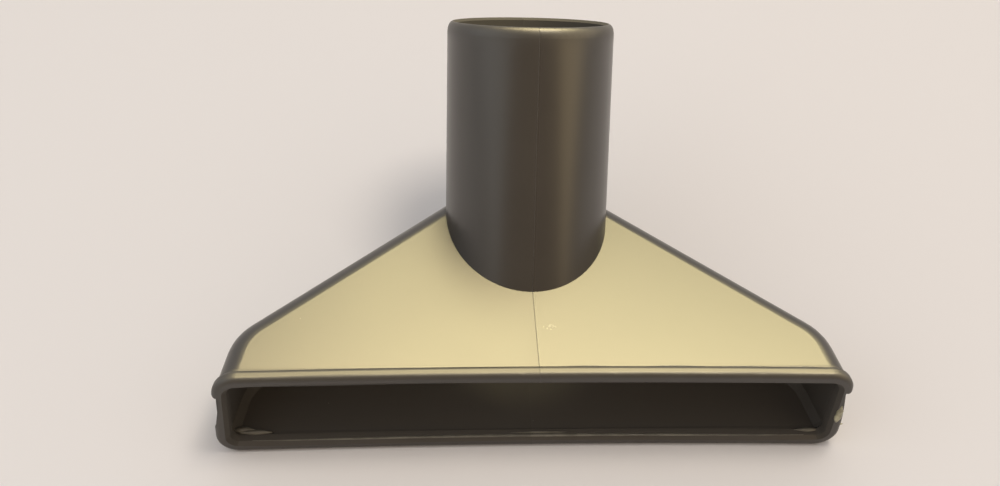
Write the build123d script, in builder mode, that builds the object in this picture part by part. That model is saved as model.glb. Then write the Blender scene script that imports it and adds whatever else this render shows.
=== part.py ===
from build123d import *
from math import atan, atan2, cos, degrees, radians, sin, tan
import os

# Small suction nozzle: a flat fan body with a beaded mouth and a leaning wand socket, one moulding.
# X runs along the mouth, Y from the mouth to the socket, Z is up from the table it lies on.

# Wand socket
wand_diameter = 35.0
wand_play = 0.4
socket_wall = 1.9
socket_height = 46.4  # along its axis, from the fan's face to the rim
socket_depth = 42.0  # from the rim down to the wand stop
stop_step = 0.8
socket_lean = 54.0  # degrees between its axis and the fan's face
socket_setback = 50.0  # from the mouth's corners to where its axis meets the face
socket_draft = 0.2  # degrees
rim_crown = 2.4
rim_lead_in = 0.6

# Fan body
mouth_width = 142.8
body_height = 24.0
wall = 1.9
flank_lean = 12.5  # degrees that each flank closes in behind the mouth
shoulder_depth = 15.85  # from the mouth's corners to where flank and fan edge would meet
shoulder_radius = 14.0
neck_width = 52.6  # across the fan, abreast of the socket's axis
heel_radius = 28.0
edge_round = 4.7
bevel_share = 0.6  # a bevel of this share leaves the same wall behind the edge as the rounding

# Lip round the mouth
mouth_bow = 0.9  # the middle of the mouth stands back from its corners
mouth_rake = 5.0  # degrees that the upper lip leans back
lip_depth = 3.2
lip_proud = 0.65  # on both sides of the wall
lip_round = 1.2  # outside
lip_chamfer = 0.8  # inside
notch_top = 6.7  # above mid-height
notch_bottom = 4.4  # below mid-height
notch_depth = 1.7  # under the end of the upper bead, running out to nothing below
bead_end_round = 0.9

# Levels and radii that follow
belly = lip_proud
face = belly + body_height
bore_radius = (wand_diameter + wand_play) / 2
socket_radius = bore_radius + socket_wall
lead_radius = bore_radius + rim_lead_in
bow_radius = ((mouth_width / 2) ** 2 + mouth_bow**2) / (2 * mouth_bow)
rake = radians(mouth_rake)
mouth = Plane((0, 0, belly + body_height / 2), x_dir=(1, 0, 0), z_dir=(0, sin(rake), cos(rake)))
bow_axis = mouth.location * Location((0, mouth_bow - bow_radius, 0))

# Corners of the fan's plan, with the flanks run on in front of the mouth
flank_slope = tan(radians(flank_lean))
overrun = edge_round + lip_depth
front_x = mouth_width / 2 + overrun * flank_slope
lip_x = mouth_width / 2 - lip_depth / 2 * flank_slope + lip_proud
shoulder_x = mouth_width / 2 - shoulder_depth * flank_slope
fan_slope = (shoulder_x - neck_width / 2) / (socket_setback - shoulder_depth)
apex_y = socket_setback + neck_width / 2 / fan_slope
heel_y = apex_y - heel_radius / sin(atan(fan_slope)) + heel_radius

# Frame of the socket, on its axis at the level of the face
lean = radians(socket_lean)
socket_foot = Vector(0, socket_setback, face)
socket_axis = Axis(socket_foot, (0, cos(lean), sin(lean)))
socket_section = Plane(socket_foot, x_dir=(1, 0, 0), z_dir=(0, -sin(lean), cos(lean)))
socket_drop = body_height / sin(lean) + socket_radius / tan(lean)


def fan(grow, bevelled=False):
    """The filled fan with its skin moved out by grow, run on in front of the mouth."""
    rounding = edge_round + grow
    with BuildPart() as form:
        with BuildSketch(Plane.XY.offset(belly - grow)) as plan:
            with BuildLine():
                Polyline(
                    (-front_x, -overrun),
                    (front_x, -overrun),
                    (shoulder_x, shoulder_depth),
                    (0, apex_y),
                    (-shoulder_x, shoulder_depth),
                    close=True,
                )
            make_face()
            if grow:
                offset(amount=grow, kind=Kind.INTERSECTION)
            fillet(plan.vertices().group_by(Axis.Y)[1], shoulder_radius + grow)
            fillet(plan.vertices().sort_by(Axis.Y)[-1], heel_radius + grow)
        extrude(amount=body_height + 2 * grow)
        for level in (0, -1):
            border = form.edges().group_by(Axis.Z)[level].sort_by(Axis.Y)
            if bevelled:
                chamfer(border[1:], bevel_share * rounding)
            else:
                fillet(border[1:], rounding)
    return form.part


# Lip: a ring round the mouth between two bowed faces, rounded outside, bevelled inside, notched at both ends
with BuildPart() as lip:
    add(fan(lip_proud))
    add(fan(-wall - lip_proud), mode=Mode.SUBTRACT)
    with Locations(bow_axis):
        Cylinder(bow_radius + lip_depth, 2 * face, mode=Mode.INTERSECT)
        Cylinder(bow_radius, 2 * face, mode=Mode.SUBTRACT)
    across = lip.faces().sort_by(Axis(mouth.origin, mouth.y_dir))
    rings = (across[0], across[-1])
    outer_edges = [edge for ring in rings for edge in ring.outer_wire().edges()]
    inner_edges = [edge for ring in rings for edge in ring.inner_wires()[0].edges()]
    fillet(outer_edges, lip_round)
    chamfer(inner_edges, lip_chamfer)
    with BuildSketch(Plane(mouth.origin, x_dir=(1, 0, 0), z_dir=-mouth.y_dir)):
        with BuildLine():
            CenterArc((lip_x - bead_end_round, notch_top + bead_end_round), bead_end_round, -90, 90)
            Polyline(
                (lip_x, notch_top + bead_end_round),
                (lip_x + lip_depth, notch_top + bead_end_round),
                (lip_x + lip_depth, -notch_bottom),
                (lip_x, -notch_bottom),
                (lip_x - notch_depth, notch_top),
                (lip_x - bead_end_round, notch_top),
            )
        make_face()
        mirror(about=Plane.YZ)
    extrude(amount=overrun, both=True, mode=Mode.SUBTRACT)

# Socket: a drafted tube with a crowned rim, cut off level with the fan's underside
with BuildPart() as socket:
    crown_start = socket_height - rim_crown
    crown_width = socket_wall - rim_lead_in
    foot_radius = socket_radius - (crown_start + socket_drop) * tan(radians(socket_draft))
    with BuildSketch(socket_section):
        with BuildLine():
            Polyline(
                (0, socket_height),
                (0, -socket_drop),
                (foot_radius, -socket_drop),
                (socket_radius, crown_start),
            )
            EllipticalCenterArc((lead_radius, crown_start), crown_width, rim_crown, arc_size=90)
            Line((lead_radius, socket_height), (0, socket_height))
        make_face()
    revolve(axis=socket_axis)
    split(bisect_by=Plane.XY.offset(belly), keep=Keep.TOP)

# Bore: clear past the rim, stepped in at the wand stop and down to the fan's floor
with BuildPart() as bore:
    stop_level = socket_height - socket_depth
    lead_start = socket_height - rim_lead_in
    with BuildSketch(socket_section):
        with BuildLine():
            Polyline(
                (0, socket_height + rim_crown),
                (0, -socket_drop),
                (bore_radius - stop_step, -socket_drop),
                (bore_radius - stop_step, stop_level),
                (bore_radius, stop_level),
                (bore_radius, lead_start),
                (lead_radius, socket_height),
                (lead_radius, socket_height + rim_crown),
                close=True,
            )
        make_face()
    revolve(axis=socket_axis)
    split(bisect_by=Plane.XY.offset(belly + wall), keep=Keep.TOP)

# The whole moulding, standing on its lip with the face level
with BuildPart() as moulding:
    add(fan(0))
    with Locations(bow_axis):
        Cylinder(bow_radius + lip_depth / 2, 2 * face, mode=Mode.SUBTRACT)
    add(socket.part)
    add(fan(-wall, bevelled=True), mode=Mode.SUBTRACT)
    add(bore.part, mode=Mode.SUBTRACT)
    add(lip.part)

# Laid on the table: it rests on the lip and on the back of the underside
lip_rest = mouth_bow + lip_depth / 2 - body_height / 2 * tan(rake)
heel_rest = heel_y - edge_round
rest_tilt = degrees(atan2(belly, heel_rest - lip_rest))
with BuildPart() as tilted:
    add(moulding.part, rotation=(-rest_tilt, 0, 0))

# Its origin is on the table, under the middle of the part
reach = tilted.part.bounding_box()
with BuildPart() as nozzle:
    with Locations((0, -reach.center().Y, -reach.min.Z)):
        add(tilted.part)

nozzle.part.label = "nozzle"
os.makedirs("parts", exist_ok=True)
export_step(nozzle.part, "parts/nozzle.step")
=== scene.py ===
import logging
import math
from dataclasses import dataclass, field
from enum import Enum
from functools import cached_property
from typing import Any

import bmesh
import bpy
from mathutils import Matrix, Vector
from mathutils.bvhtree import BVHTree


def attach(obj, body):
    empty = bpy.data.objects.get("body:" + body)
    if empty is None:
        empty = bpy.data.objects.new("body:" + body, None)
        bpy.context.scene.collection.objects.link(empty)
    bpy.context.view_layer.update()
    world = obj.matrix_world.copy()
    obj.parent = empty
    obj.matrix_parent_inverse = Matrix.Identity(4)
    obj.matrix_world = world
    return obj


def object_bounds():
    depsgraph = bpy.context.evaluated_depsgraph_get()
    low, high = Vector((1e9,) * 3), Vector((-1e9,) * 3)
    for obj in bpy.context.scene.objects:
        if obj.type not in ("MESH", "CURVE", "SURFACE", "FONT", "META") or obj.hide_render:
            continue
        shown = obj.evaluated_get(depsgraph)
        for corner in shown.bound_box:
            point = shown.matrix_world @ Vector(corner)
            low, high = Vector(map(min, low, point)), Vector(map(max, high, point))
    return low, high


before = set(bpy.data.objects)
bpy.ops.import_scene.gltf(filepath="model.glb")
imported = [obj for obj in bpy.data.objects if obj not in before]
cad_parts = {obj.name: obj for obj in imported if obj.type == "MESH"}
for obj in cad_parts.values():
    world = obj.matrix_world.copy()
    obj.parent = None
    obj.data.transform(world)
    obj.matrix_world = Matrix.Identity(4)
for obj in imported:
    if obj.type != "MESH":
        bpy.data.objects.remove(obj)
CAD_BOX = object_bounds()
LOG = logging.getLogger("nozzle")
MM = 0.001
NODE = "nozzle"
BODY = "root"
SLOT = "charcoal_plastic"


class Side(Enum):
    """The two halves of the mould, by the sign of X."""

    LEFT = -1
    RIGHT = 1


class FlashPlace(Enum):
    """Where a sliver of flash is left on the lip."""

    UPPER_CREASE = "upper_crease"
    LOWER_EDGE = "lower_edge"


class LampUse(Enum):
    """What a lamp is seen by."""

    ALL = "all"
    GLOSS = "gloss"


class NodeBoard:
    """A material's node tree, with short calls that place and wire nodes."""

    def __init__(self, name: str) -> None:
        """Make a material that has only a Principled shader.

        Args:
            name: The material's name.
        """
        self.material = bpy.data.materials.new(name)
        self.material.use_nodes = True
        self.tree = self.material.node_tree
        self.shader = self.tree.nodes["Principled BSDF"]

    @cached_property
    def coords(self) -> bpy.types.NodeSocket:
        """The object's own coordinates."""
        return self.place("ShaderNodeTexCoord", {}).outputs["Object"]

    @cached_property
    def axes(self) -> bpy.types.NodeOutputs:
        """The coordinates as X, Y and Z."""
        return self.place("ShaderNodeSeparateXYZ", {"Vector": self.coords}).outputs

    @cached_property
    def normal(self) -> bpy.types.NodeSocket:
        """The surface's normal."""
        return self.place("ShaderNodeNewGeometry", {}).outputs["Normal"]

    def place(self, kind: str, sockets: dict[str | int, Any], **settings: Any) -> bpy.types.Node:
        """Add a node; an output given for a socket is linked to it, and any other value is set on it.

        Args:
            kind: The node's type.
            sockets: Values by input name or number.
            **settings: Properties of the node itself.

        Returns:
            The node.
        """
        node = self.tree.nodes.new(kind)
        for key, value in settings.items():
            setattr(node, key, value)
        for key, value in sockets.items():
            self.feed(node.inputs[key], value)
        return node

    def feed(self, socket: bpy.types.NodeSocket, value: Any) -> None:
        """Link an output to a socket, or set the socket's own value.

        Args:
            socket: The input.
            value: An output, a number, a colour or a vector.
        """
        if isinstance(value, bpy.types.NodeSocket):
            self.tree.links.new(value, socket)
        else:
            socket.default_value = value

    def shade(self, looks: dict[str, Any]) -> bpy.types.Material:
        """Feed the shader's inputs.

        Args:
            looks: An output or a value by input name.

        Returns:
            The finished material.
        """
        for name, value in looks.items():
            self.feed(self.shader.inputs[name], value)
        return self.material

    def math(self, operation: str, *values: Any) -> bpy.types.NodeSocket:
        """Add a Math node and give its result."""
        return self.place("ShaderNodeMath", dict(enumerate(values)), operation=operation).outputs[0]

    def rise(self, value: bpy.types.NodeSocket, low: float, high: float) -> bpy.types.NodeSocket:
        """Go smoothly from 0 at low to 1 at high, which may be the smaller of the two.

        Args:
            value: The input.
            low: Where the result is 0.
            high: Where the result is 1.

        Returns:
            The result.
        """
        flip = low > high
        ends = {"From Min": min(low, high), "From Max": max(low, high)}
        ends |= {"To Min": float(flip), "To Max": float(not flip)}
        node = self.place("ShaderNodeMapRange", {"Value": value, **ends}, interpolation_type="SMOOTHSTEP")
        return node.outputs["Result"]

    def vector(self, operation: str, *values: Any) -> bpy.types.NodeOutputs:
        """Add a Vector Math node and give its results."""
        return self.place("ShaderNodeVectorMath", dict(enumerate(values)), operation=operation).outputs

    def blend(
        self, base: Any, over: tuple[float, float, float], mask: bpy.types.NodeSocket
    ) -> bpy.types.NodeSocket:
        """Lay one colour over another.

        Args:
            base: The colour below, an output or a triple.
            over: The colour laid on it.
            mask: How much of it shows.

        Returns:
            The mixed colour.
        """
        below = base if isinstance(base, bpy.types.NodeSocket) else (*base, 1)
        sockets = {"Factor": mask, "A": below, "B": (*over, 1)}
        return self.place("ShaderNodeMix", sockets, data_type="RGBA").outputs["Result"]

    def reach(self, centre: tuple[float, float], narrow: float = 1.0) -> bpy.types.NodeSocket:
        """Measure how far a place is from a centre, seen from above.

        Args:
            centre: The centre's X and Y.
            narrow: How many times nearer in Y the same distance lies.

        Returns:
            The distance.
        """
        x, y = (self.math("SUBTRACT", self.axes[axis], at) for axis, at in zip("XY", centre))
        squeezed = self.math("MULTIPLY", y, narrow)
        total = self.math("MULTIPLY_ADD", squeezed, squeezed, self.math("MULTIPLY", x, x))
        return self.math("SQRT", total)

    def noise(self, size: float, detail: float) -> bpy.types.NodeSocket:
        """Add a noise from 0 to 1 whose lumps are about one size."""
        sockets = {"Vector": self.coords, "Scale": 1 / size, "Detail": detail}
        return self.place("ShaderNodeTexNoise", sockets).outputs["Fac"]


@dataclass(frozen=True)
class CharcoalPlastic:
    """Satin charcoal moulding: grain, mottling, a polish for each half of the mould, dust specks, one scuff,
    and painted light that lightens the level inner skin of the mouth, more so towards its back.
    """

    colour: tuple[float, float, float] = (0.034, 0.029, 0.024)
    pale_colour: tuple[float, float, float] = (0.046, 0.040, 0.033)
    # painted light: this paler colour lightens the level inner skin of the mouth, where shade falls
    cavity_painted_light_colour: tuple[float, float, float] = (0.062, 0.054, 0.046)
    # painted light: this much paler colour lightens the back of the inner floor, where little light reaches
    deep_painted_light_colour: tuple[float, float, float] = (0.16, 0.145, 0.13)
    dust_colour: tuple[float, float, float] = (0.30, 0.27, 0.23)
    scuff_colour: tuple[float, float, float] = (0.19, 0.175, 0.14)
    rough: dict[Side, float] = field(default_factory=lambda: {Side.LEFT: 0.29, Side.RIGHT: 0.272})
    rough_swing: float = 0.05
    seam_rough: float = 0.02
    shine_rough: float = -0.07
    cavity_rough: float = 0.42
    lip_rough: float = 0.15
    rim_rough: float = 0.12
    specular: float = 0.8
    lead_rough: float = 0.4
    grain: float = 0.22 * MM
    grain_detail: float = 2.0
    grain_height: float = 0.004 * MM
    mottle: float = 14 * MM
    mottle_detail: float = 6.0
    seam_reach: float = 5 * MM
    shine_start: float = 0.08 * MM
    shine_end: float = 0.50 * MM
    speck_spacing: float = 6 * MM
    speck_radius: float = 0.13 * MM
    speck_share: float = 0.3
    scuff_place: tuple[float, float] = (3.2 * MM, -29.9 * MM)
    scuff_reach: float = 2.0 * MM
    scuff_lump: float = 0.6 * MM
    scuff_detail: float = 2.0
    scuff_narrow: float = 2.0
    scuff_bounds: tuple[float, float] = (0.44, 0.64)
    level_bounds: tuple[float, float] = (0.55, 0.95)
    face_level: float = 20 * MM
    cavity_middle: tuple[float, float, float] = (0.0, -25 * MM, 12 * MM)
    soft_border: float = 1.5 * MM
    # painted light: where the extra lightening towards the back of the cavity starts and where it is full
    deep_light_start: float = -44 * MM
    deep_light_full: float = -20 * MM
    lip_back: float = -43.1 * MM
    lip_rake: float = 0.0875
    rim_middle: tuple[float, float, float] = (0.0, 31.915 * MM, 61.328 * MM)
    rim_axis: tuple[float, float, float] = (0.0, 0.596938, 0.802288)
    rim_depth: float = 5 * MM
    lead_depth: float = 0.7 * MM
    lead_radius: float = 18.3 * MM

    def material(self) -> bpy.types.Material:
        """Make the node material.

        Returns:
            The finished material.
        """
        board = NodeBoard(SLOT)
        mottle = board.noise(self.mottle, self.mottle_detail)
        cavity = self.cavity_mask(board)
        grain = board.noise(self.grain, self.grain_detail)
        bump = board.place("ShaderNodeBump", {"Height": grain, "Distance": self.grain_height})
        looks = {
            "Base Color": self.tint(board, mottle, cavity),
            "Roughness": self.polish(board, mottle, cavity),
            "Specular IOR Level": self.specular,
            "Normal": bump.outputs["Normal"],
        }
        return board.shade(looks)

    def tint(
        self, board: NodeBoard, mottle: bpy.types.NodeSocket, cavity: bpy.types.NodeSocket
    ) -> bpy.types.NodeSocket:
        """Lay the colours over each other: mottling, painted light on the level inside and more painted light
        further back, dust specks and the scuff.

        Args:
            board: The material.
            mottle: The mottling, from 0 to 1.
            cavity: The mask of the inner skin.

        Returns:
            The colour.
        """
        # painted light: the level inner skin is painted paler, and more so towards the back, where shade
        # falls
        painted_cavity_light = board.math("MULTIPLY", cavity, self.level_mask(board))
        deep = board.rise(board.axes["Y"], self.deep_light_start, self.deep_light_full)
        layers = (
            (self.pale_colour, mottle),
            (self.cavity_painted_light_colour, painted_cavity_light),
            (self.deep_painted_light_colour, board.math("MULTIPLY", painted_cavity_light, deep)),
            (self.dust_colour, self.speck_mask(board)),
            (self.scuff_colour, self.scuff_mask(board)),
        )
        colour = self.colour
        for over, mask in layers:
            colour = board.blend(colour, over, mask)
        return colour

    def polish(
        self, board: NodeBoard, mottle: bpy.types.NodeSocket, cavity: bpy.types.NodeSocket
    ) -> bpy.types.NodeSocket:
        """Add up the roughness: that of the mould's half, and what each place changes about it.

        Args:
            board: The material.
            mottle: The mottling, from 0 to 1.
            cavity: The mask of the inner skin.

        Returns:
            The roughness.
        """
        x = board.axes["X"]
        right = board.math("GREATER_THAN", x, 0.0)
        left = board.math("SUBTRACT", 1.0, right)
        by_seam = board.math("MULTIPLY", left, board.rise(x, -self.seam_reach, 0.0))
        past_seam = board.math("GREATER_THAN", x, self.shine_start)
        shine = board.math("MULTIPLY", past_seam, board.rise(x, self.shine_end, self.shine_start))
        rim, lead = self.rim_masks(board)
        changes = (
            (right, self.rough[Side.RIGHT] - self.rough[Side.LEFT]),
            (mottle, self.rough_swing),
            (by_seam, self.seam_rough),
            (shine, self.shine_rough),
            (cavity, self.cavity_rough),
            (self.lip_mask(board), self.lip_rough),
            (rim, self.rim_rough),
            (lead, self.lead_rough),
        )
        rough = self.rough[Side.LEFT]
        for mask, amount in changes:
            rough = board.math("MULTIPLY_ADD", mask, amount, rough)
        return rough

    def cavity_mask(self, board: NodeBoard) -> bpy.types.NodeSocket:
        """Find the inner skin, which faces the middle of the cavity and is left as rough as the tool cut it;
        the tint also paints light onto it.

        Args:
            board: The material.

        Returns:
            1 on the inner skin, 0 elsewhere.
        """
        offset = board.vector("SUBTRACT", board.coords, self.cavity_middle)["Vector"]
        outward = board.vector("DOT_PRODUCT", offset, board.normal)["Value"]
        return board.rise(outward, 0.0, -self.soft_border)

    def level_mask(self, board: NodeBoard) -> bpy.types.NodeSocket:
        """Give 1 where the surface lies level and 0 where it is steep, so that the painted light in the
        cavity stays off its steep side walls.
        """
        upward = board.place("ShaderNodeSeparateXYZ", {"Vector": board.normal}).outputs["Z"]
        return board.rise(board.math("ABSOLUTE", upward), *self.level_bounds)

    def lip_mask(self, board: NodeBoard) -> bpy.types.NodeSocket:
        """Give 1 on the raked lip, whose tool was less polished than the face's, and 0 behind it."""
        upright = board.math("MULTIPLY_ADD", board.axes["Z"], -self.lip_rake, board.axes["Y"])
        return board.math("LESS_THAN", upright, self.lip_back)

    def rim_masks(self, board: NodeBoard) -> tuple[bpy.types.NodeSocket, bpy.types.NodeSocket]:
        """Find the socket's crowned rim and, inside it, the bevel that leads the wand in.

        Args:
            board: The material.

        Returns:
            Two masks: 1 on the rim, and 1 on the bevel.
        """
        offset = board.vector("SUBTRACT", board.coords, self.rim_middle)["Vector"]
        along = board.vector("DOT_PRODUCT", offset, self.rim_axis)["Value"]
        length = board.vector("LENGTH", offset)["Value"]
        rim = board.rise(along, -self.rim_depth, -self.lead_depth)
        top = board.math("GREATER_THAN", along, -self.lead_depth)
        inside = board.math("LESS_THAN", length, self.lead_radius)
        return rim, board.math("MULTIPLY", top, inside)

    def speck_mask(self, board: NodeBoard) -> bpy.types.NodeSocket:
        """Scatter dust specks.

        Args:
            board: The material.

        Returns:
            1 on a speck, 0 elsewhere.
        """
        sockets = {"Vector": board.coords, "Scale": 1 / self.speck_spacing}
        cells = board.place("ShaderNodeTexVoronoi", sockets).outputs
        radius = self.speck_radius / self.speck_spacing
        dot = board.rise(cells["Distance"], radius, radius / 2)
        pick = board.place("ShaderNodeSeparateColor", {"Color": cells["Color"]}).outputs["Red"]
        return board.math("MULTIPLY", dot, board.math("LESS_THAN", pick, self.speck_share))

    def scuff_mask(self, board: NodeBoard) -> bpy.types.NodeSocket:
        """Place the one scuff on the face, right of the parting line.

        Args:
            board: The material.

        Returns:
            1 on the scuff, 0 elsewhere.
        """
        distance = board.reach(self.scuff_place, self.scuff_narrow)
        near = board.rise(distance, self.scuff_reach, self.scuff_reach / 2)
        flaked = board.rise(board.noise(self.scuff_lump, self.scuff_detail), *self.scuff_bounds)
        on_face = board.math("GREATER_THAN", board.axes["Z"], self.face_level)
        return board.math("MULTIPLY", board.math("MULTIPLY", near, flaked), on_face)


@dataclass(frozen=True)
class GlintFlashPlastic:
    """The same plastic where it was squeezed out thin: paler, partly as painted highlight for the glints
    along the lip's edges, and blotched by how thick it is.
    """

    name: str = "charcoal_flash_glint"
    # painted highlight: these pale tones partly stand in for glints on the slivers, besides the thin flash's
    # own paler tone
    thick_tone_and_glint: tuple[float, float, float] = (0.13, 0.12, 0.098)
    thin_tone_and_glint: tuple[float, float, float] = (0.20, 0.187, 0.152)
    blotch: float = 4 * MM
    blotch_detail: float = 4.0
    blotch_bounds: tuple[float, float] = (0.35, 0.65)
    rough: float = 0.34

    def material(self) -> bpy.types.Material:
        """Make the node material.

        Returns:
            The finished material.
        """
        board = NodeBoard(self.name)
        blotch = board.rise(board.noise(self.blotch, self.blotch_detail), *self.blotch_bounds)
        colour = board.blend(self.thick_tone_and_glint, self.thin_tone_and_glint, blotch)
        return board.shade({"Base Color": colour, "Roughness": self.rough})


@dataclass(frozen=True)
class GlintTornPlastic(GlintFlashPlastic):
    """The same plastic where it was torn off, made pale yellow as painted highlight for the glint on the torn
    face.
    """

    name: str = "torn_flash_glint"
    # painted highlight: pale yellow stands in for the glint of light on the torn face and spike
    thick_tone_and_glint: tuple[float, float, float] = (0.24, 0.225, 0.15)
    thin_tone_and_glint: tuple[float, float, float] = (0.46, 0.44, 0.30)
    blotch: float = 1.6 * MM


@dataclass
class NozzleShell:
    """The moulding itself: the CAD solid, dressed."""

    finish: CharcoalPlastic = CharcoalPlastic()

    def dress(self) -> bpy.types.Object:
        """Give the CAD node its finish.

        Returns:
            The node's object.
        """
        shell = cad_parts[NODE]
        shell.data.materials.clear()
        shell.data.materials.append(self.finish.material())
        return shell


@dataclass
class Skin:
    """The shell's surface, asked for points on it and for what lies in the open."""

    shell: bpy.types.Object
    far: float = 1.0
    lift: float = 0.05 * MM

    def __post_init__(self) -> None:
        """Index the surface."""
        mesh = self.shell.data
        self.tree = BVHTree.FromPolygons([v.co for v in mesh.vertices], [p.vertices for p in mesh.polygons])

    def meet(self, start: Vector, way: Vector) -> Vector:
        """Go one way from a start until the surface is met.

        Args:
            start: The point gone from.
            way: The direction.

        Returns:
            The point that is met.

        Raises:
            ValueError: Nothing lies that way.
        """
        point = self.tree.ray_cast(start, way)[0]
        if point is None:
            raise ValueError(f"nothing lies ahead of {start}")
        return point

    def height(self, x: float, y: float) -> Vector:
        """Drop onto the surface from above."""
        return self.meet(Vector((x, y, self.far)), Vector((0, 0, -1)))

    def front(self, x: float, z: float) -> Vector:
        """Go back onto the surface from the front."""
        return self.meet(Vector((x, -self.far, z)), Vector((0, 1, 0)))

    def side(self, y: float, z: float) -> Vector:
        """Go in onto the surface from the right."""
        return self.meet(Vector((self.far, y, z)), Vector((-1, 0, 0)))

    def is_open(self, point: Vector, way: Vector) -> bool:
        """Say whether nothing of the surface is ahead of a point, looked at from a little way on."""
        return self.tree.ray_cast(point + way * self.lift, way)[0] is None


@dataclass
class Ridge:
    """A low raised line that follows points on the shell: its top is rounded and its foot is sunk in."""

    points: list[Vector]
    normals: list[Vector]
    widths: list[float]
    heights: list[float]
    sink: float = 0.04 * MM
    crown: tuple[tuple[float, float], ...] = ((-0.5, 0.0), (-0.3, 0.7), (0.0, 1.0), (0.3, 0.7), (0.5, 0.0))

    def add_to(self, shape: bmesh.types.BMesh) -> None:
        """Add the closed ridge to a mesh.

        Args:
            shape: The mesh.
        """
        rings = []
        for i, (point, normal) in enumerate(zip(self.points, self.normals)):
            before, after = self.points[max(i - 1, 0)], self.points[min(i + 1, len(self.points) - 1)]
            across = (after - before).cross(normal).normalized()
            ring = []
            for side, up in self.crown:
                lift = up * (self.heights[i] + self.sink) - self.sink
                ring.append(shape.verts.new(point + across * side * self.widths[i] + normal * lift))
            rings.append(ring)
        size = len(self.crown)
        for first, second in zip(rings, rings[1:]):
            for k in range(size):
                following = (k + 1) % size
                shape.faces.new((first[k], first[following], second[following], second[k]))
        shape.faces.new(rings[0])
        shape.faces.new(rings[-1])


def link_piece(name: str, shape: bmesh.types.BMesh, material: bpy.types.Material) -> bpy.types.Object:
    """Turn a finished mesh into a piece that rides with the moulding.

    Args:
        name: The piece's name.
        shape: The mesh, which is used up.
        material: Its finish.

    Returns:
        The piece's object.
    """
    bmesh.ops.recalc_face_normals(shape, faces=shape.faces)
    mesh = bpy.data.meshes.new(name)
    shape.to_mesh(mesh)
    shape.free()
    mesh.materials.append(material)
    mesh.shade_smooth()
    piece = bpy.data.objects.new(name, mesh)
    bpy.context.scene.collection.objects.link(piece)
    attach(piece, BODY)
    return piece


@dataclass
class PartingSeam:
    """The raised line where the mould's halves met, in the middle plane: over lip, face and socket."""

    skin: Skin
    width: float = 0.22 * MM
    height: float = 0.05 * MM
    table_gap: float = 0.12 * MM
    shortest: float = 2 * MM
    fewest_points: int = 3
    spacing: float = 0.5 * MM
    weld: float = 0.002 * MM

    def middle_loops(self) -> list[list[Vector]]:
        """Cut the shell along its middle plane.

        Returns:
            The closed outlines of the cut, each as points in order.
        """
        shape = bmesh.new()
        shape.from_mesh(self.skin.shell.data)
        bmesh.ops.remove_doubles(shape, verts=shape.verts, dist=self.weld)
        everything = [*shape.verts, *shape.edges, *shape.faces]
        cut = bmesh.ops.bisect_plane(shape, geom=everything, plane_co=(0, 0, 0), plane_no=(1, 0, 0))
        edges = [item for item in cut["geom_cut"] if isinstance(item, bmesh.types.BMEdge)]
        loops = []
        while edges:
            edge = edges.pop()
            start, vert = edge.verts
            loop = [start.co.copy()]
            while vert is not start:
                loop.append(vert.co.copy())
                edge = next((e for e in vert.link_edges if e in edges), None)
                if edge is None:
                    break
                edges.remove(edge)
                vert = edge.other_vert(vert)
            loops.append(loop)
        shape.free()
        return [self.spaced(loop) for loop in loops]

    def spaced(self, loop: list[Vector]) -> list[Vector]:
        """Add points to an outline where they are far apart.

        Args:
            loop: The outline's points.

        Returns:
            The outline with no gap over the spacing.
        """
        filled = []
        for here, following in zip(loop, loop[1:] + loop[:1]):
            count = max(math.ceil((following - here).length / self.spacing), 1)
            filled += [here.lerp(following, i / count) for i in range(count)]
        return filled

    def open_runs(self, loop: list[Vector]) -> list[tuple[list[Vector], list[Vector]]]:
        """Keep the stretches of an outline that lie on the outer skin, clear of the table.

        Args:
            loop: The outline's points.

        Returns:
            Each stretch as its points and normals.
        """
        count = len(loop)
        marks = []
        for i, point in enumerate(loop):
            along = (loop[(i + 1) % count] - loop[i - 1]).normalized()
            normal = along.cross(Vector((1, 0, 0)))
            facing = self.skin.tree.find_nearest(point)[1]
            if normal.dot(facing) < 0:
                normal.negate()
            clear = point.z + normal.z * self.height > self.table_gap
            marks.append((point, normal, clear and self.skin.is_open(point, normal)))
        first = next((i for i in range(count) if not marks[i][2]), 0)
        runs = [([], [])]
        for point, normal, shown in marks[first:] + marks[:first]:
            if shown:
                runs[-1][0].append(point)
                runs[-1][1].append(normal)
            elif runs[-1][0]:
                runs.append(([], []))
        return [run for run in runs if len(run[0]) >= self.fewest_points]

    def build(self, material: bpy.types.Material) -> bpy.types.Object:
        """Make the seam.

        Args:
            material: The moulding's finish.

        Returns:
            The seam's object.
        """
        shape = bmesh.new()
        for loop in self.middle_loops():
            for points, normals in self.open_runs(loop):
                if (points[-1] - points[0]).length > self.shortest:
                    count = len(points)
                    Ridge(points, normals, [self.width] * count, [self.height] * count).add_to(shape)
        return link_piece("parting_seam", shape, material)


@dataclass(frozen=True)
class Sliver:
    """One sliver of flash: where it lies along the mouth and how large it is."""

    place: FlashPlace
    start: float
    end: float
    width: float
    height: float
    set_back: float = 0.0
    sink: float = 0.04 * MM


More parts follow.
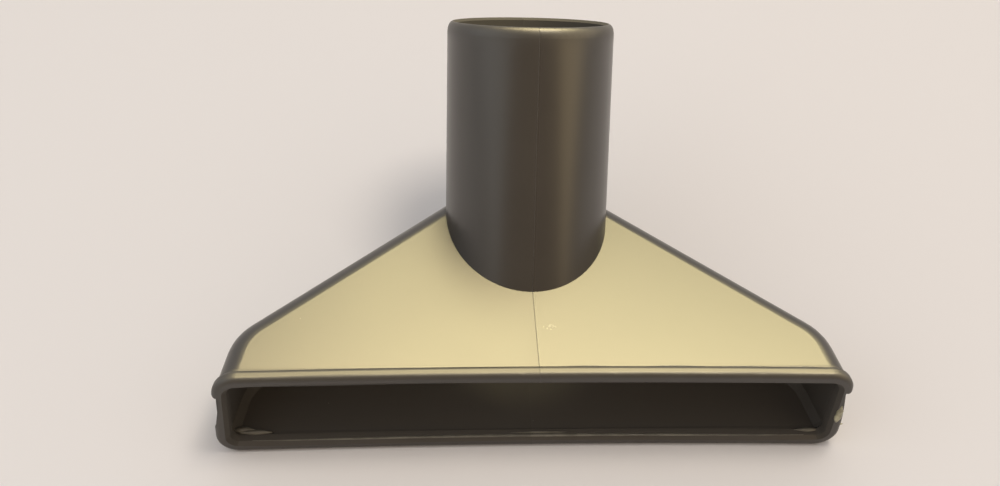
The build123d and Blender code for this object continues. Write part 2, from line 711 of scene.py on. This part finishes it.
@dataclass
class LipFlash:
    """Slivers of flash left along the lip, in the crease above it and on the lower lip's inner edge; their
    pale finish partly paints the glints there.
    """

    skin: Skin
    slivers: tuple[Sliver, ...] = (
        Sliver(FlashPlace.UPPER_CREASE, start=5 * MM, end=15 * MM, width=0.40 * MM, height=0.16 * MM),
        Sliver(FlashPlace.UPPER_CREASE, start=24 * MM, end=37 * MM, width=0.45 * MM, height=0.18 * MM),
        Sliver(FlashPlace.UPPER_CREASE, start=41 * MM, end=52 * MM, width=0.40 * MM, height=0.16 * MM),
        Sliver(FlashPlace.UPPER_CREASE, start=55 * MM, end=63 * MM, width=0.50 * MM, height=0.20 * MM),
        # painted highlight: this long pale sliver paints the light line along the lower lip's inner edge
        Sliver(FlashPlace.LOWER_EDGE, start=-64 * MM, end=64 * MM, width=0.9 * MM, height=0.15 * MM),
        Sliver(
            FlashPlace.LOWER_EDGE,
            start=-68.8 * MM,
            end=-63.4 * MM,
            width=2.2 * MM,
            height=0.8 * MM,
            set_back=2.9 * MM,
            sink=0.7 * MM,
        ),
        Sliver(
            FlashPlace.LOWER_EDGE,
            start=-67.2 * MM,
            end=-59.6 * MM,
            width=1.7 * MM,
            height=0.7 * MM,
            set_back=2.2 * MM,
            sink=0.7 * MM,
        ),
        Sliver(
            FlashPlace.LOWER_EDGE,
            start=-5 * MM,
            end=8 * MM,
            width=0.6 * MM,
            height=0.35 * MM,
            set_back=0.7 * MM,
        ),
        Sliver(
            FlashPlace.LOWER_EDGE,
            start=62 * MM,
            end=68.5 * MM,
            width=1.6 * MM,
            height=0.5 * MM,
            set_back=1.4 * MM,
            sink=0.6 * MM,
        ),
    )
    fewest_stations: int = 15
    station_spacing: float = 2 * MM
    straight: float = 64 * MM
    ease: int = 3
    search_step: float = 0.01 * MM
    search_share: float = 0.8
    crease_rise: float = 0.06 * MM
    mouth_share: float = 0.25
    tip: float = 0.15

    def crease_point(self, x: float) -> Vector:
        """Find where the face turns up into the lip's back.

        Args:
            x: Where along the mouth.

        Returns:
            The point in the crease.
        """
        y = CAD_BOX[0][1] * self.search_share
        level = self.skin.height(x, y)
        point = level
        while point.z < level.z + self.crease_rise:
            y -= self.search_step
            point = self.skin.height(x, y)
        return point

    def lower_edge_point(self, x: float) -> Vector:
        """Find the lower lip's inner edge, just ahead of where the upper lip hides the floor from above.

        Args:
            x: Where along the mouth.

        Returns:
            The point on the edge.
        """
        y = CAD_BOX[0][1]
        x = max(-self.straight, min(self.straight, x))
        while self.skin.is_open(Vector((x, y, self.skin.far)), Vector((0, 0, -1))):
            y += self.search_step
        best = self.skin.height(x, y)
        while True:
            y += self.search_step
            point = self.skin.height(x, y)
            if point.z < best.z or point.z > CAD_BOX[1][2] * self.mouth_share:
                return best
            best = point

    def eased(self, points: list[Vector], middle: int) -> Vector:
        """Average one of a line's points with its neighbours."""
        near = points[max(middle - self.ease, 0) : middle + self.ease + 1]
        return sum(near, Vector()) / len(near)

    def build(self, material: bpy.types.Material) -> bpy.types.Object:
        """Make the slivers.

        Args:
            material: The flash's finish, pale partly as painted highlight.

        Returns:
            The slivers' object.
        """
        finders = {FlashPlace.UPPER_CREASE: self.crease_point, FlashPlace.LOWER_EDGE: self.lower_edge_point}
        shape = bmesh.new()
        for sliver in self.slivers:
            length = sliver.end - sliver.start
            count = max(self.fewest_stations, round(length / self.station_spacing))
            shares = [i / (count - 1) for i in range(count)]
            taper = [self.tip + (1 - self.tip) * math.sin(math.pi * share) for share in shares]
            behind = Vector((0, sliver.set_back, 0))
            spots = [sliver.start + length * share for share in shares]
            found = [finders[sliver.place](x) + behind for x in spots]
            points = [Vector((x, *self.eased(found, i).yz)) for i, x in enumerate(spots)]
            widths = [sliver.width * size for size in taper]
            heights = [sliver.height * size for size in taper]
            Ridge(points, [Vector((0, 0, 1))] * count, widths, heights, sliver.sink).add_to(shape)
        return link_piece("lip_flash", shape, material)


@dataclass
class TornEnd:
    """The ragged tongue left on the lip's right end where a runner was broken off, with one spike."""

    skin: Skin
    x: float = 70.2 * MM
    low: float = 9.0 * MM
    high: float = 15.0 * MM
    widths: tuple[float, ...] = (0.5 * MM, 1.5 * MM, 1.9 * MM, 1.6 * MM, 1.7 * MM, 0.9 * MM, 0.3 * MM)
    heights: tuple[float, ...] = (0.05 * MM, 0.30 * MM, 0.22 * MM, 0.38 * MM, 0.20 * MM, 0.16 * MM, 0.03 * MM)
    spike_level: float = 7.6 * MM
    spike_reach: float = 0.7 * MM
    spike_width: float = 0.5 * MM
    spike_depth: float = 1.2 * MM
    spike_stations: tuple[float, ...] = (-0.5, 0.0, 0.5, 1.0)
    spike_taper: float = 1.05
    spike_flatness: float = 3.0

    def build(self, material: bpy.types.Material) -> bpy.types.Object:
        """Make the tongue and the spike.

        Args:
            material: The torn plastic's finish, pale yellow as painted highlight.

        Returns:
            The piece's object.
        """
        shape = bmesh.new()
        count = len(self.widths)
        levels = [self.low + (self.high - self.low) * i / (count - 1) for i in range(count)]
        points = [self.skin.front(self.x, level) for level in levels]
        Ridge(points, [Vector((0, -1, 0))] * count, list(self.widths), list(self.heights)).add_to(shape)
        root = self.skin.side(CAD_BOX[0][1] + self.spike_depth, self.spike_level)
        spine = [root + Vector((self.spike_reach * share, 0, 0)) for share in self.spike_stations]
        widths = [self.spike_width * (self.spike_taper - max(share, 0.0)) for share in self.spike_stations]
        heights = [width / self.spike_flatness for width in widths]
        Ridge(spine, [Vector((0, 0, 1))] * len(spine), widths, heights).add_to(shape)
        return link_piece("torn_end", shape, material)


@dataclass
class PhotoStage:
    """A plain pale floor."""

    half_width: float = 3.0
    colour: tuple[float, float, float] = (0.80, 0.778, 0.782)
    rough: float = 0.9
    specular: float = 0.1

    def build(self) -> bpy.types.Object:
        """Make the floor.

        Returns:
            The floor's object.
        """
        mesh = bpy.data.meshes.new("floor")
        shape = bmesh.new()
        bmesh.ops.create_grid(shape, x_segments=1, y_segments=1, size=self.half_width)
        shape.to_mesh(mesh)
        shape.free()
        floor = bpy.data.objects.new("floor", mesh)
        bpy.context.scene.collection.objects.link(floor)
        looks = {
            "Base Color": (*self.colour, 1),
            "Roughness": self.rough,
            "Specular IOR Level": self.specular,
        }
        mesh.materials.append(NodeBoard("pale_floor").shade(looks))
        return floor


@dataclass(frozen=True)
class Softbox:
    """One rectangular lamp, placed by the direction in which the object sees it."""

    name: str
    azimuth: float
    elevation: float
    distance: float
    width: float
    height: float
    radiance: float
    colour: tuple[float, float, float]
    use: LampUse = LampUse.ALL

    def build(self, aim: Vector) -> bpy.types.Object:
        """Place the lamp so that it faces the aim.

        Args:
            aim: The point that it lights.

        Returns:
            The lamp's object.
        """
        az, el = math.radians(self.azimuth), math.radians(self.elevation)
        away = Vector((math.sin(az) * math.cos(el), math.cos(az) * math.cos(el), math.sin(el)))
        lamp = bpy.data.lights.new(self.name, "AREA")
        lamp.shape = "RECTANGLE"
        lamp.size = self.width
        lamp.size_y = self.height
        lamp.energy = self.radiance * math.pi * self.width * self.height
        lamp.color = self.colour
        obj = bpy.data.objects.new(self.name, lamp)
        obj.visible_diffuse = self.use is LampUse.ALL
        obj.location = aim + away * self.distance
        obj.rotation_euler = away.to_track_quat("Z", "Y").to_euler()
        bpy.context.scene.collection.objects.link(obj)
        return obj


@dataclass
class StudioLights:
    """Two yellow glare cards mirrored in the face, an overhead lamp, two side fills and the room."""

    boxes: tuple[Softbox, ...] = (
        Softbox(
            "glare_low",
            azimuth=25,
            elevation=54,
            distance=0.9,
            width=0.76,
            height=0.30,
            radiance=11.2,
            colour=(1.0, 0.85, 0.43),
            use=LampUse.GLOSS,
        ),
        Softbox(
            "glare_high",
            azimuth=16,
            elevation=70,
            distance=0.9,
            width=0.7,
            height=0.25,
            radiance=21.0,
            colour=(1.0, 0.81, 0.43),
            use=LampUse.GLOSS,
        ),
        Softbox(
            "warm_back",
            azimuth=62,
            elevation=74,
            distance=1.0,
            width=0.35,
            height=0.3,
            radiance=11.0,
            colour=(1.0, 0.90, 0.76),
        ),
        Softbox(
            "cool_left",
            azimuth=-105,
            elevation=32,
            distance=0.9,
            width=1.1,
            height=0.8,
            radiance=0.62,
            colour=(0.86, 0.96, 1.0),
        ),
        Softbox(
            "warm_right",
            azimuth=95,
            elevation=34,
            distance=0.9,
            width=1.4,
            height=0.8,
            radiance=1.35,
            colour=(1.0, 0.77, 0.42),
            use=LampUse.GLOSS,
        ),
    )
    room_back: tuple[float, float, float] = (0.65, 0.64, 0.635)
    room_front: tuple[float, float, float] = (0.435, 0.335, 0.245)
    room_turn: tuple[float, float] = (-0.8, 0.2)
    aim_share: tuple[float, float] = (0.5, 0.35)

    def build(self) -> None:
        """Place the lamps and set the world."""
        low, high = CAD_BOX
        aim = Vector((0, low[1] * self.aim_share[0], high[2] * self.aim_share[1]))
        for box in self.boxes:
            box.build(aim)
        bpy.context.scene.world = self.room()

    def room(self) -> bpy.types.World:
        """Make the world: a pale room behind the object, and a dim warm one in front of it.

        Returns:
            The world.
        """
        world = bpy.data.worlds.new("room")
        world.use_nodes = True
        nodes, links = world.node_tree.nodes, world.node_tree.links
        way = nodes.new("ShaderNodeSeparateXYZ")
        links.new(nodes.new("ShaderNodeTexCoord").outputs["Generated"], way.inputs["Vector"])
        backward = nodes.new("ShaderNodeMapRange")
        backward.interpolation_type = "SMOOTHSTEP"
        backward.inputs["From Min"].default_value, backward.inputs["From Max"].default_value = self.room_turn
        links.new(way.outputs["Y"], backward.inputs["Value"])
        tone = nodes.new("ShaderNodeMix")
        tone.data_type = "RGBA"
        tone.inputs["A"].default_value = (*self.room_front, 1)
        tone.inputs["B"].default_value = (*self.room_back, 1)
        links.new(backward.outputs["Result"], tone.inputs["Factor"])
        links.new(tone.outputs["Result"], nodes["Background"].inputs["Color"])
        return world


@dataclass
class PhotoCamera:
    """The photograph's camera: close, looking down on the mouth from a little left of the middle."""

    place: tuple[float, float, float] = (-0.03268, -0.20414, 0.26031)
    azimuth: float = 7.40
    elevation: float = 49.59
    roll: float = 5.74
    focal_pixels: float = 1300.0
    frame_width: float = 1000.0
    sensor: float = 36.0
    nearest: float = 0.01

    def build(self) -> bpy.types.Object:
        """Make the scene's camera.

        Returns:
            The camera's object.
        """
        data = bpy.data.cameras.new("photo_camera")
        data.sensor_fit = "HORIZONTAL"
        data.sensor_width = self.sensor
        data.lens = self.focal_pixels / self.frame_width * self.sensor
        data.clip_start = self.nearest
        camera = bpy.data.objects.new("photo_camera", data)
        az, el = math.radians(-self.azimuth), math.radians(90 - self.elevation)
        turn = Matrix.Rotation(az, 4, "Z") @ Matrix.Rotation(el, 4, "X")
        turn = turn @ Matrix.Rotation(math.radians(self.roll), 4, "Z")
        camera.matrix_world = Matrix.Translation(self.place) @ turn
        bpy.context.scene.collection.objects.link(camera)
        bpy.context.scene.camera = camera
        return camera


def main() -> None:
    """Build the pieces in order and report each one."""
    logging.basicConfig(level=logging.INFO, format="%(name)s: %(message)s")
    bpy.context.scene.view_settings.view_transform = "Standard"
    PhotoCamera().build()
    PhotoStage().build()
    StudioLights().build()
    shell = NozzleShell().dress()
    material = shell.data.materials[0]
    skin = Skin(shell)
    # painted highlight: the flash finish is pale partly to stand in for glints along the lip
    flash = GlintFlashPlastic().material()
    # painted highlight: the torn finish is pale yellow to stand in for the glint on the torn end
    torn = GlintTornPlastic().material()
    seam = PartingSeam(skin).build(material)
    slivers = LipFlash(skin).build(flash)
    tongue = TornEnd(skin).build(torn)
    for piece in (shell, seam, slivers, tongue):
        LOG.info("%s has %d faces", piece.name, len(piece.data.polygons))


if __name__ == "__main__":
    main()
